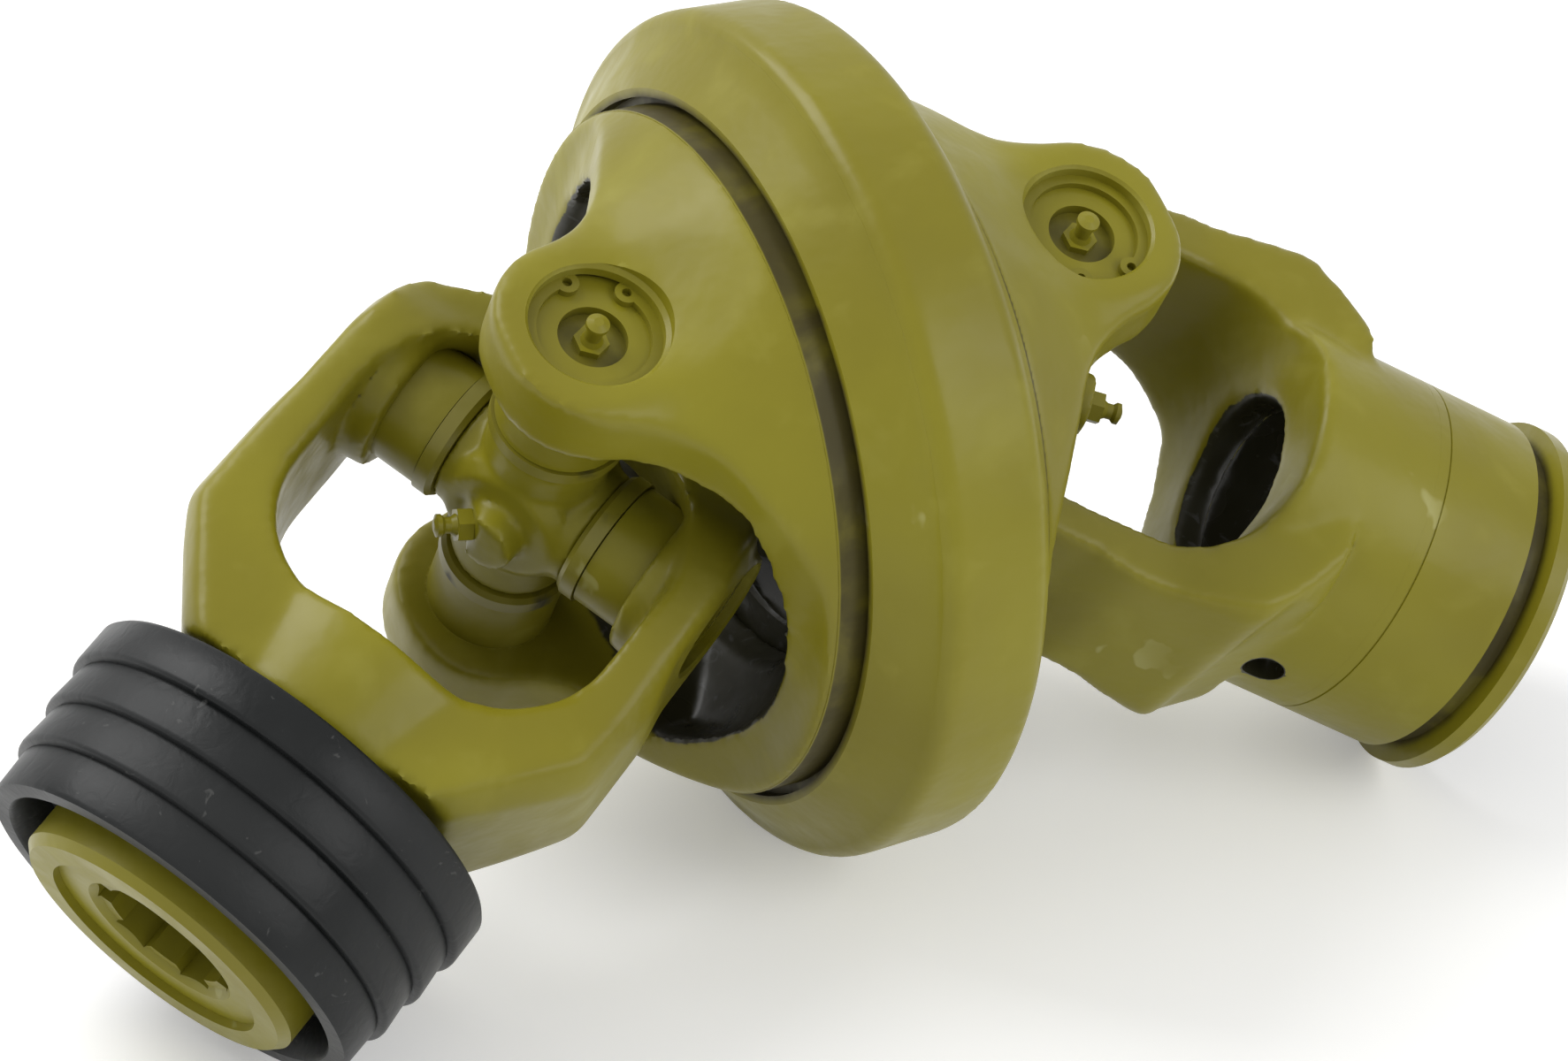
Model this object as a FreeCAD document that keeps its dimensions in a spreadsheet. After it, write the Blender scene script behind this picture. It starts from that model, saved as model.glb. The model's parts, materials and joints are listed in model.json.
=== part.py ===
"""Double cardan joint of a tractor drive shaft, laid down on three rims.

Two forked yokes hang in crosses at the two ends of one housing, so the
shaft can bend twice.  The splined yoke takes the tractor's stub shaft and
holds it with a sliding collar, and the tube yoke takes the shaft's tube.
A control disc that floats in the housing keeps both bends equal.
"""
import FreeCAD, Part
import math
import os
import Sketcher

Vector = FreeCAD.Vector
Placement = FreeCAD.Placement
Rotation = FreeCAD.Rotation

ALONG = Vector(1, 0, 0)
PIN_WAY = Vector(0, 1, 0)
SIDE = Vector(0, 0, 1)
ORIGIN = Vector(0, 0, 0)

doc = FreeCAD.newDocument("double_cardan_joint")
sheet = doc.addObject("Spreadsheet::Sheet", "sizes")
parts = []


# Driving dimensions, in millimetres and degrees.
SIZES = {
    # Where the two crosses sit, and how far both ends bend at rest.
    "cross_spacing": 122,
    "fork_swing": 33,
    "yoke_swing": 13.4,

    # Bearing cups of the crosses, the same in all eight bores.
    "cup_radius": 15.1,
    "housing_cup_length": 30,
    "yoke_cup_length": 25,
    "cup_wall": 3.4,
    "cup_floor": 4.8,
    "cup_recess_radius": 7.8,
    "cup_recess_depth": 2.8,
    "cup_fit": 0.02,
    "roller_gap": 0.05,
    "clip_thickness": 1.75,
    "clip_groove_depth": 1.3,
    "clip_width": 3.6,
    "clip_opening": 11,
    "clip_lug_radius": 2.7,
    "clip_eye_radius": 1.1,
    "seal_length": 4.6,
    "seal_radius": 15.8,
    "seal_gap": 0.3,
    "bore_mouth": 0.5,

    # Housing: flanged yoke in front, ring yoke behind, both about the long axis.
    "housing_cup_face": 59.3,
    "housing_ear_face": 64,
    "housing_ear_inside": 46,
    "housing_ear_round": 22,
    "ear_waist_place": 52,
    "ear_waist_width": 24.5,
    "ear_waist_round": 30,
    "ear_bend_place": 50,
    "plate_place": 28,
    "plate_width": 66,
    "plate_round": 20,
    "dome_place": 50,
    "dome_radius": 67,
    "opening_radius": 64,
    "lip_radius": 51,
    "lip_depth": 14,
    "pocket_radius": 95,
    "rim_radius": 79.2,
    "rim_place": 26,
    "channel_radius": 81.2,
    "channel_floor": 17,
    "spigot_fit": 0.05,
    "ridge_radius": 98.9,
    "ridge_place": 7,
    "ring_lip_place": 20,
    "edge_bevel": 2.5,
    "back_edge_radius": 98.3,
    "back_edge_place": 16,
    "lock_ring_radius": 2.4,
    "lock_ring_place": 11,

    # Control disc, its floating cover ring and the guide balls of both yokes.
    "disc_radius": 59,
    "disc_thickness": 5.6,
    "cover_thickness": 1.4,
    "disc_slack": 0.2,
    "sleeve_wall": 4.6,
    "sleeve_reach": 23,
    "sleeve_flare": 2.5,
    "guide_reach": 52,
    "guide_radius": 8,
    "guide_slack": 2.1,
    "guide_stem_radius": 4.2,

    # Crosses.
    "journal_radius": 9,
    "cross_arm_radius": 14.2,
    "cross_hub_radius": 17,
    "cross_hub_reach": 14.5,
    "cross_boss_radius": 7.5,
    "cross_boss_reach": 21,

    # Forked yokes: a closed loop round the cross on a broad base.
    "yoke_cup_face": 47.5,
    "yoke_ear_face": 52,
    "loop_half_width": 54.5,
    "loop_window": 41,
    "loop_window_floor": 59,
    "loop_window_round": 27,
    "loop_window_back_round": 34,
    "ear_boss_radius": 19,
    "ear_boss_reach": 34,
    "loop_back": 34,
    "loop_back_width": 20,
    "loop_back_round": 14,
    "loop_shoulder_place": 20.5,
    "loop_shoulder_width": 47.5,
    "loop_turning_radius": 57,
    "loop_back_inside": 22,
    "loop_half_breadth": 22,
    "bridge_half_breadth": 13,
    "base_place": 65,
    "base_half_width": 48,
    "base_half_breadth": 27,

    # Splined hub, locking collar and what the collar hides.
    "hub_radius": 27,
    "hub_shoulder_radius": 33,
    "hub_shoulder_place": 84,
    "hub_shoulder_width": 35,
    "hub_front": 134,
    "hub_bore_radius": 14.9,
    "spline_radius": 17.45,
    "spline_space": 8.7,
    "spline_count": 6,
    "spline_lead_in": 1.6,
    "stop_ring_radius": 35.3,
    "stop_ring_back": 121,
    "stop_ring_front": 136,
    "ball_radius": 5.5,
    "ball_place": 108,
    "ball_count": 3,
    "ball_gap": 0.05,
    "collar_back": 88,
    "collar_front": 131,
    "collar_radius": 52.2,
    "collar_front_radius": 47.5,
    "collar_step": 1.5,
    "collar_wall": 6,
    "collar_web_back": 100,
    "collar_web_front": 120.7,
    "collar_slide_fit": 0.1,

    # Tube yoke body.
    "tube_body_radius": 42.9,
    "tube_body_start": 50,
    "tube_base_place": 67.5,
    "tube_turning_radius": 60,
    "tube_window_floor": 63,
    "tube_shoulder_breadth": 32,
    "tube_groove_place": 124.5,
    "tube_groove_radius": 39.8,
    "bead_place": 128,
    "bead_radius": 44.9,
    "tube_end": 135,
    "tube_bore_radius": 31,
    "tube_bore_floor": 72,
    "tube_through_radius": 23,
    "tube_recess_radius": 35,
    "tube_recess_depth": 12,
    "spring_pin_radius": 5,
    "spring_pin_place": 81.7,
    "spring_pin_turn": 7,

    # Grease nipples.
    "nipple_hex": 7,
    "nipple_hex_height": 3.5,
    "nipple_height": 8.5,
    "nipple_head_radius": 2.6,
    "nipple_neck_radius": 1.9,
}
for row, (word, number) in enumerate(SIZES.items(), 1):
    sheet.set("A%d" % row, word)
    sheet.set("B%d" % row, str(number))
    sheet.setAlias("B%d" % row, word)
doc.recompute()


def value(expression):
    """What an expression in the sheet's words comes to."""
    return float(sheet.evalExpression(expression))


def written(expression):
    """The same expression with the sheet's words as object properties."""
    text = ""
    word = ""
    for sign in expression + " ":
        if sign.isalpha() or sign == "_":
            word += sign
            continue
        known = word and sheet.getCellFromAlias(word)
        text += "sizes." + word if known else word
        text += sign
        word = ""
    return text.strip()


def bind(thing, **sizes_of_thing):
    """Bind properties of an object to expressions in the sheet's words."""
    for name, expression in sizes_of_thing.items():
        thing.setExpression(name, written(expression))
    return thing


PLANES = {
    "XY": Rotation(),
    "XZ": Rotation(ALONG, 90),
    "YZ": Rotation(Vector(1, 1, 1), 120),
}


def outline(name, plane, corners):
    """A closed sketch, each corner bound to the sheet as across, up and,
    where it is round, the radius of its arc."""
    sketch = doc.addObject("Sketcher::SketchObject", name)
    sketch.Placement = Placement(ORIGIN, PLANES[plane])
    points = []
    for corner in corners:
        points.append(Vector(value(corner[0]), value(corner[1]), 0))
    starts, arcs, ends = [], [], []
    for i, corner in enumerate(corners):
        point = points[i]
        back = (points[i - 1] - point).normalize()
        ahead = (points[(i + 1) % len(points)] - point).normalize()
        if len(corner) == 2:
            starts.append(point)
            ends.append(point)
            arcs.append(None)
            continue
        half = back.getAngle(ahead) / 2
        radius = value(corner[2])
        middle = (back + ahead).normalize()
        centre = point + middle * (radius / math.sin(half))
        starts.append(point + back * (radius / math.tan(half)))
        ends.append(point + ahead * (radius / math.tan(half)))
        arcs.append(Part.Arc(starts[i], centre - middle * radius, ends[i]))
    lines = []
    for i in range(len(corners)):
        run = Part.LineSegment(ends[i], starts[(i + 1) % len(corners)])
        lines.append(sketch.addGeometry(run))

    def hold(kind, word, geometry, end, expression):
        place = sketch.addConstraint(
            Sketcher.Constraint(kind, -1, 1, geometry, end, value(expression)))
        sketch.renameConstraint(place, word)
        sketch.setExpression("Constraints." + word, written(expression))

    for i, corner in enumerate(corners):
        before = lines[i - 1]
        after = lines[i]
        if arcs[i] is None:
            sketch.addConstraint(Sketcher.Constraint("Coincident", before, 2, after, 1))
            anchor = after
        else:
            arc = sketch.addGeometry(arcs[i])
            turned = sketch.getPoint(arc, 1).distanceToPoint(starts[i]) > 1e-6
            near = 2 if turned else 1
            sketch.addConstraint(Sketcher.Constraint("Tangent", before, 2, arc, near))
            sketch.addConstraint(Sketcher.Constraint("Tangent", after, 1, arc, 3 - near))
            place = sketch.addConstraint(Sketcher.Constraint("Radius", arc, value(corner[2])))
            sketch.renameConstraint(place, "round_%d" % i)
            sketch.setExpression("Constraints.round_%d" % i, written(corner[2]))
            anchor = sketch.addGeometry(Part.Point(points[i]), True)
            sketch.addConstraint(Sketcher.Constraint("PointOnObject", anchor, 1, before))
            sketch.addConstraint(Sketcher.Constraint("PointOnObject", anchor, 1, after))
        hold("DistanceX", "across_%d" % i, anchor, 1, corner[0])
        hold("DistanceY", "up_%d" % i, anchor, 1, corner[1])
    return sketch


def turned(name, corners):
    """A solid of revolution about the X axis, from corners along and out."""
    solid = doc.addObject("Part::Revolution", name)
    solid.Source = outline(name + "_profile", "XY", corners)
    solid.Axis = ALONG
    solid.Base = ORIGIN
    solid.Angle = 360
    solid.Solid = True
    return solid


def pushed(name, plane, corners, length):
    """A prism, as far to both sides of its sketch's plane."""
    solid = doc.addObject("Part::Extrusion", name)
    solid.Base = outline(name + "_profile", plane, corners)
    solid.DirMode = "Normal"
    solid.Solid = True
    solid.Symmetric = True
    return bind(solid, LengthFwd=length)


def rod(name, radius, length, start=ORIGIN, way=ALONG):
    """A cylinder from a point along a direction."""
    solid = doc.addObject("Part::Cylinder", name)
    solid.Placement = Placement(start, Rotation(SIDE, way))
    return bind(solid, Radius=radius, Height=length)


def joined(name, *pieces):
    solid = doc.addObject("Part::MultiFuse", name)
    solid.Shapes = list(pieces)
    return solid


def shared(name, *pieces):
    solid = doc.addObject("Part::MultiCommon", name)
    solid.Shapes = list(pieces)
    return solid


def cut(name, base, tool):
    solid = doc.addObject("Part::Cut", name)
    solid.Base = base
    solid.Tool = tool
    return solid


def placed(thing, label, where):
    """Name a finished sub-part and give it its place in the housing's frame."""
    thing.Label = label
    thing.Placement = where
    parts.append(thing)
    return thing


def beside(end):
    """Turns a piece drawn towards the tube to point to this end."""
    return Placement(ORIGIN, Rotation(SIDE, 180 if end == FRONT else 0))


FRONT, BACK = "front", "back"
WAY_OUT = {FRONT: -1, BACK: 1}


def cross_frame(end):
    """Centre of one cross, with Y along the housing's pins and Z along the
    yoke's, at the bend that the joint rests in."""
    way = WAY_OUT[end]
    centre = Placement(ALONG * (way * value("cross_spacing / 2")), Rotation())
    swing = Placement(ORIGIN, Rotation(PIN_WAY, -way * value("fork_swing")))
    return centre * swing * beside(end)


def yoke_frame(end):
    """The same centre, turned with the yoke about its own pins."""
    swing = Placement(ORIGIN, Rotation(SIDE, -WAY_OUT[end] * value("yoke_swing")))
    return cross_frame(end) * swing


def fork_frame(end):
    """Centre of one cross in the housing, which doesn't bend with it."""
    centre = Placement(ALONG * (WAY_OUT[end] * value("cross_spacing / 2")), Rotation())
    return centre * beside(end)


# Housing halves.  Both are drawn with the outer end towards +X: the overlap
# of a dome, the ears' outline from the front and their outline from the side.
POCKET_BACK = "disc_thickness / 2 + disc_slack"
POCKET_FRONT = POCKET_BACK + " + cover_thickness + disc_slack"
EAR_CENTRE = "cross_spacing / 2"
EAR_TIP = EAR_CENTRE + " + housing_ear_round"


def eared_dome(name, root):
    """The outside of one half, solid, from the root to the ears' tips."""
    dome = turned(name + "_dome", [
        (root, "0"),
        (root, "rim_radius"),
        ("rim_place", "rim_radius"),
        ("dome_place", "dome_radius", "plate_round"),
        (EAR_TIP + " + 5", "dome_radius"),
        (EAR_TIP + " + 5", "0"),
    ])
    ear_outline = pushed(name + "_outline", "XZ", [
        (EAR_TIP, "-housing_ear_round", "housing_ear_round - 0.5"),
        (EAR_TIP, "housing_ear_round", "housing_ear_round - 0.5"),
        ("ear_waist_place", "ear_waist_width", "ear_waist_round"),
        ("plate_place", "plate_width", "plate_round"),
        ("rim_place", "ridge_radius"),
        (root, "ridge_radius"),
        (root, "-ridge_radius"),
        ("rim_place", "-ridge_radius"),
        ("plate_place", "-plate_width", "plate_round"),
        ("ear_waist_place", "-ear_waist_width", "ear_waist_round"),
    ], "4 * ridge_radius")
    side_view = pushed(name + "_side", "XY", [
        (root, "-rim_radius"),
        (root, "rim_radius"),
        ("rim_place", "rim_radius"),
        ("ear_bend_place", "housing_ear_face", "ear_waist_round"),
        (EAR_TIP + " + 5", "housing_ear_face"),
        (EAR_TIP + " + 5", "-housing_ear_face"),
        ("ear_bend_place", "-housing_ear_face", "ear_waist_round"),
        ("rim_place", "-rim_radius"),
    ], "4 * ridge_radius")
    return shared(name, dome, ear_outline, side_view)


def mouth(name, root):
    """The room inside one half: a lip, a flare and the gap of the ears."""
    throat = rod(name + "_throat", "lip_radius", EAR_TIP)
    flare = turned(name + "_flare", [
        ("lip_depth", "0"),
        ("lip_depth", "lip_radius"),
        ("lip_depth + opening_radius - lip_radius", "opening_radius"),
        (EAR_TIP + " + 6", "opening_radius"),
        (EAR_TIP + " + 6", "0"),
    ])
    gap = pushed(name + "_gap", "XY", [
        (root, "-housing_ear_inside"),
        (EAR_TIP + " + 7", "-housing_ear_inside"),
        (EAR_TIP + " + 7", "housing_ear_inside"),
        (root, "housing_ear_inside"),
    ], "4 * ridge_radius")
    short_throat = rod(name + "_lip", "lip_radius", "lip_depth")
    return joined(name, shared(name + "_room", joined(name + "_all", throat, flare), gap),
                  short_throat)


def pin_bores(name):
    """The bores of one fork, with their clip grooves and mouths."""
    bore = rod(name + "_bore", "cup_radius + cup_fit", "4 * housing_ear_face",
               Vector(value(EAR_CENTRE), -2 * value("housing_ear_face"), 0), PIN_WAY)
    tools = [bore]
    for side in (-1, 1):
        ring = turned(name + "_mouth%+d" % side, [
            ("housing_cup_face", "journal_radius"),
            ("housing_cup_face", "cup_radius + clip_groove_depth"),
            ("housing_cup_face + clip_thickness", "cup_radius + clip_groove_depth"),
            ("housing_cup_face + clip_thickness", "cup_radius"),
            ("housing_ear_face - bore_mouth", "cup_radius"),
            ("housing_ear_face + 1", "cup_radius + bore_mouth + 1"),
            ("housing_ear_face + 1", "journal_radius"),
        ])
        ring.Placement = Placement(ALONG * value(EAR_CENTRE), Rotation(ALONG, PIN_WAY * side))
        tools.append(ring)
    return joined(name + "_bores", *tools)


def lock_groove(name, place):
    ring = doc.addObject("Part::Torus", name)
    ring.Placement = Placement(ALONG * place, Rotation(SIDE, ALONG))
    return bind(ring, Radius1="rim_radius", Radius2="lock_ring_radius")


flanged_blank = eared_dome("flange", POCKET_FRONT)
flanged_tools = joined("flanged_tools", mouth("front_mouth", "lip_depth"), pin_bores("front"),
                       lock_groove("flange_groove", value("lock_ring_place")))
placed(cut("flanged", flanged_blank, flanged_tools), "flanged_yoke", beside(FRONT))

bell = turned("bell", [
    (POCKET_BACK, "0"),
    ("rim_place", "0"),
    ("rim_place", "rim_radius"),
    ("back_edge_place", "back_edge_radius - edge_bevel"),
    ("back_edge_place - edge_bevel", "back_edge_radius"),
    ("-ridge_place", "ridge_radius"),
    ("-ridge_place - edge_bevel", "ridge_radius - 0.6 * edge_bevel"),
    ("-ridge_place - 1.6 * edge_bevel", "ridge_radius - 2 * edge_bevel"),
    ("-ring_lip_place", "channel_radius + 2"),
    ("-ring_lip_place", "channel_radius"),
    ("-channel_floor", "channel_radius"),
    ("-channel_floor", "rim_radius + spigot_fit"),
    ("-(" + POCKET_FRONT + ")", "rim_radius + spigot_fit"),
    ("-(" + POCKET_FRONT + ")", "pocket_radius"),
    (POCKET_BACK, "pocket_radius"),
])
ring_blank = joined("ring_blank", bell, eared_dome("back", POCKET_BACK))
ring_tools = joined("ring_tools", mouth("back_mouth", "lip_depth"), pin_bores("back"),
                    lock_groove("bell_groove", -value("lock_ring_place")))
placed(cut("ring", ring_blank, ring_tools), "ring_yoke", beside(BACK))

lock_ring = lock_groove("lock_wire", -value("lock_ring_place"))
bind(lock_ring, Radius2="lock_ring_radius - 0.02")
placed(lock_ring, "housing_lock_ring", lock_ring.Placement)


# Bearings.  Each arm of a cross turns on rollers in a cup; a clip holds the
# cup in its bore and a seal closes it towards the cross.  The near cup of
# each housing fork has a nipple in its end.
CUP_FACE = {"housing": "housing_cup_face", "yoke": "yoke_cup_face"}
CUP_LENGTH = {"housing": "housing_cup_length", "yoke": "yoke_cup_length"}
PINS = {"housing": PIN_WAY, "yoke": SIDE}
CUP_FRAME = {"housing": fork_frame, "yoke": yoke_frame}


def cup(name, holder):
    inner = "-" + CUP_LENGTH[holder]
    return turned(name, [
        (inner, "cup_radius - cup_wall"),
        (inner, "cup_radius"),
        ("0", "cup_radius"),
        ("0", "cup_recess_radius"),
        ("-cup_recess_depth", "cup_recess_radius"),
        ("-cup_recess_depth", "0"),
        ("-cup_floor", "0"),
        ("-cup_floor", "cup_radius - cup_wall"),
    ])


def rollers(name, holder):
    """The full ring of needle rollers, drawn as one sleeve."""
    inner = "-(" + CUP_LENGTH[holder] + " - 2)"
    return turned(name, [
        (inner, "journal_radius + roller_gap"),
        (inner, "cup_radius - cup_wall - roller_gap"),
        ("-cup_floor - 0.3", "cup_radius - cup_wall - roller_gap"),
        ("-cup_floor - 0.3", "journal_radius + roller_gap"),
    ])


def seal(name, holder):
    outer = "-(" + CUP_LENGTH[holder] + " + seal_gap)"
    return turned(name, [
        (outer + " - seal_length", "journal_radius + roller_gap"),
        (outer + " - seal_length", "seal_radius - 1"),
        (outer + " - seal_length + 1.2", "seal_radius"),
        (outer, "seal_radius"),
        (outer, "journal_radius + roller_gap"),
    ])


def clip(name):
    """An open spring ring with an eye at each end, drawn with its gap up."""
    groove = "cup_radius + clip_groove_depth - 0.05"
    ring = rod(name + "_disc", groove, "clip_thickness")
    inside = rod(name + "_inside", groove + " - clip_width", "clip_thickness")
    gap = doc.addObject("Part::Box", name + "_gap")
    bind(gap, Length="clip_thickness", Width="clip_opening", Height="2 * cup_radius")
    gap.Placement = Placement(Vector(0, -value("clip_opening / 2"), 0), Rotation())
    body = cut(name + "_ring", ring, joined(name + "_tools", inside, gap))
    lugs, eyes = [], []
    height = value("cup_radius - clip_lug_radius - 0.4")
    across = value("clip_opening / 2 + clip_lug_radius * 0.4")
    for way in (-1, 1):
        start = Vector(0, way * across, height)
        lugs.append(rod(name + "_lug%+d" % way, "clip_lug_radius", "clip_thickness", start))
        eyes.append(rod(name + "_eye%+d" % way, "clip_eye_radius", "clip_thickness", start))
    return cut(name, joined(name + "_blank", body, *lugs), joined(name + "_eyes", *eyes))


def nipple(name, reach):
    """A grease nipple along +X: hexagon, neck and ball head."""
    hexagon = doc.addObject("Part::Prism", name + "_hexagon")
    hexagon.Polygon = 6
    hexagon.Placement = Placement(ORIGIN, Rotation(SIDE, ALONG))
    bind(hexagon, Circumradius="nipple_hex / sqrt(3)", Height=reach)
    neck = turned(name + "_neck", [
        (reach, "0"),
        (reach, "nipple_head_radius"),
        (reach + " + 1.2", "nipple_neck_radius"),
        ("nipple_height - 2.4", "nipple_neck_radius"),
        ("nipple_height - 1.6", "nipple_head_radius"),
        ("nipple_height - 0.6", "nipple_head_radius"),
        ("nipple_height", "nipple_neck_radius - 0.8"),
        ("nipple_height", "0"),
    ])
    return joined(name, hexagon, neck)


SIDE_NAMES = {-1: "far", 1: "near"}
CLIP_TURN = {
    (FRONT, "housing"): 155,
    (BACK, "housing"): 0,
    (FRONT, "yoke"): 90,
    (BACK, "yoke"): 90,
}

for end in (FRONT, BACK):
    for holder in ("housing", "yoke"):
        for side in (-1, 1):
            tail = "%s_%s_%s" % (end, holder, SIDE_NAMES[side])
            towards = side * WAY_OUT[end] if holder == "housing" else side
            out = Rotation(ALONG, PINS[holder] * towards)
            face = PINS[holder] * (towards * value(CUP_FACE[holder]))
            seat = CUP_FRAME[holder](end) * Placement(face, out)
            placed(cup("cup_" + tail, holder), "cup_" + tail, seat)
            placed(rollers("rollers_" + tail, holder), "rollers_" + tail, seat)
            turn = Placement(ORIGIN, Rotation(ALONG, CLIP_TURN[end, holder]))
            placed(clip("clip_" + tail), "clip_" + tail, seat * turn)
            on_cross = cross_frame(end) * Placement(face, out)
            placed(seal("seal_" + tail, holder), "seal_" + tail, on_cross)
            if holder == "housing" and side == 1:
                recess = Placement(ALONG * -value("cup_recess_depth"), Rotation())
                piece = nipple("nipple_" + tail, "nipple_hex_height / 2")
                placed(piece, "cup_nipple_" + end, seat * recess)


# Crosses: four journals on a short round hub, with a greasing boss that
# points out of the joint.
def cross_arms(name, holder, way):
    shoulder = CUP_FACE[holder] + " - " + CUP_LENGTH[holder] + " - seal_gap - seal_length"
    tip = CUP_FACE[holder] + " - cup_floor - 0.2"
    arms = turned(name, [
        ("-(" + tip + ")", "0"),
        ("-(" + tip + ")", "journal_radius - 1"),
        ("-(" + tip + ") + 1", "journal_radius"),
        ("-(" + shoulder + ")", "journal_radius"),
        ("-(" + shoulder + ")", "cross_arm_radius"),
        (shoulder, "cross_arm_radius"),
        (shoulder, "journal_radius"),
        (tip + " - 1", "journal_radius"),
        (tip, "journal_radius - 1"),
        (tip, "0"),
    ])
    arms.Placement = Placement(ORIGIN, Rotation(ALONG, way))
    return arms


NIPPLE_LEAN = {FRONT: -45, BACK: 0}

for end in (FRONT, BACK):
    name = "cross_" + end
    hub = turned(name + "_hub", [
        ("-cross_hub_reach", "0"),
        ("-cross_hub_reach", "cross_hub_radius - 3"),
        ("-cross_hub_reach + 3", "cross_hub_radius"),
        ("cross_hub_reach - 3", "cross_hub_radius"),
        ("cross_hub_reach", "cross_hub_radius - 3"),
        ("cross_hub_reach", "0"),
    ])
    boss = rod(name + "_boss", "cross_boss_radius", "cross_boss_reach")
    blank = joined(name + "_blank", cross_arms(name + "_pins", "housing", PIN_WAY),
                   cross_arms(name + "_yoke_pins", "yoke", SIDE), hub, boss)
    lean = Rotation(PIN_WAY, -NIPPLE_LEAN[end])
    foot = ALONG * value("cross_boss_reach")
    if NIPPLE_LEAN[end]:
        foot = ALONG * value("cross_boss_reach - cross_boss_radius") \
            + lean.multVec(ALONG) * value("cross_boss_radius - 0.9")
    spot_face = rod(name + "_spot_face", "nipple_hex", "cross_boss_radius",
                    foot, lean.multVec(ALONG))
    placed(cut(name, blank, spot_face), name, cross_frame(end))
    placed(nipple("nipple_" + name, "nipple_hex_height"), "cross_nipple_" + end,
           cross_frame(end) * Placement(foot, lean))


# Forked yokes: the loop is the overlap of its outline and its side view.
def loop(name, base, base_drop, base_breadth, shoulder, shoulder_width, shoulder_breadth,
         turning_radius, turning_end):
    """The outside of one yoke's loop: the overlap of its outline, its side
    view and the room that it may turn in."""
    outside = pushed(name + "_outline", "XZ", [
        ("-loop_back", "-loop_back_width", "loop_back_round"),
        ("-loop_back", "loop_back_width", "loop_back_round"),
        ("-loop_shoulder_place", "loop_shoulder_width", "5"),
        ("-6", "yoke_ear_face"),
        ("cup_radius + 4", "yoke_ear_face"),
        ("cup_radius + 16", "loop_half_width", "20"),
        (base + " - " + base_drop, "loop_half_width", "7"),
        (base, "base_half_width", "4"),
        (shoulder, shoulder_width),
        (shoulder, "-" + shoulder_width),
        (base, "-base_half_width", "4"),
        (base + " - " + base_drop, "-loop_half_width", "7"),
        ("cup_radius + 16", "-loop_half_width", "20"),
        ("cup_radius + 4", "-yoke_ear_face"),
        ("-6", "-yoke_ear_face"),
        ("-loop_shoulder_place", "-loop_shoulder_width", "5"),
    ], "4 * loop_half_breadth")
    side_view = pushed(name + "_side", "XY", [
        ("-loop_back - 1", "-bridge_half_breadth"),
        ("-loop_back - 1", "bridge_half_breadth"),
        ("-loop_back_inside + 2", "bridge_half_breadth", "10"),
        ("-cup_radius + 6", "loop_half_breadth", "16"),
        ("cup_radius + 24", "loop_half_breadth", "30"),
        (base + " + 1", base_breadth, "8"),
        (shoulder, shoulder_breadth),
        (shoulder, "-" + shoulder_breadth),
        (base + " + 1", "-" + base_breadth, "8"),
        ("cup_radius + 24", "-loop_half_breadth", "30"),
        ("-cup_radius + 6", "-loop_half_breadth", "16"),
        ("-loop_back_inside + 2", "-bridge_half_breadth", "10"),
    ], "4 * loop_half_width")
    swing = turned(name + "_turning", [
        ("-loop_back - 1", "0"),
        ("-loop_back - 1", "loop_shoulder_width - 8"),
        ("-loop_shoulder_place", "yoke_ear_face - 1", "10"),
        ("0", turning_radius + " - 2", "20"),
        (base + " - " + base_drop, turning_radius, "8"),
        ("hub_shoulder_place + 1", turning_end),
        ("hub_shoulder_place + 1", "0"),
    ])
    return shared(name + "_loop", outside, side_view, swing)


def loop_window(name, floor):
    """The window of one loop, with a boss left standing round each bore."""
    window = pushed(name + "_window", "XZ", [
        ("-loop_back_inside", "-loop_window", "loop_window_back_round"),
        ("-loop_back_inside", "loop_window", "loop_window_back_round"),
        (floor, "loop_window", "loop_window_round"),
        (floor, "-loop_window", "loop_window_round"),
    ], "4 * loop_half_width")
    bosses = []
    for side in (-1, 1):
        start = SIDE * (side * value("ear_boss_reach"))
        bosses.append(rod(name + "_boss%+d" % side, "ear_boss_radius", "ear_boss_reach",
                          start, SIDE * side))
    return cut(name + "_window_cut", window, joined(name + "_bosses", *bosses))


def loop_tools(name, floor):
    """The window, the two pin bores and the bore of the guide pin."""
    window = loop_window(name, floor)
    bore = rod(name + "_bore", "cup_radius + cup_fit", "4 * yoke_ear_face",
               SIDE * -value("2 * yoke_ear_face"), SIDE)
    guide = rod(name + "_guide_bore", "guide_stem_radius", "loop_back",
                ALONG * -value("loop_back + 1"))
    tools = [window, bore, guide]
    for side in (-1, 1):
        ring = turned(name + "_mouth%+d" % side, [
            ("yoke_cup_face", "journal_radius"),
            ("yoke_cup_face", "cup_radius + clip_groove_depth"),
            ("yoke_cup_face + clip_thickness", "cup_radius + clip_groove_depth"),
            ("yoke_cup_face + clip_thickness", "cup_radius"),
            ("yoke_ear_face - bore_mouth", "cup_radius"),
            ("yoke_ear_face + 1", "cup_radius + bore_mouth + 1"),
            ("yoke_ear_face + 1", "journal_radius"),
        ])
        ring.Placement = Placement(ORIGIN, Rotation(ALONG, SIDE * side))
        tools.append(ring)
    return tools


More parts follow.
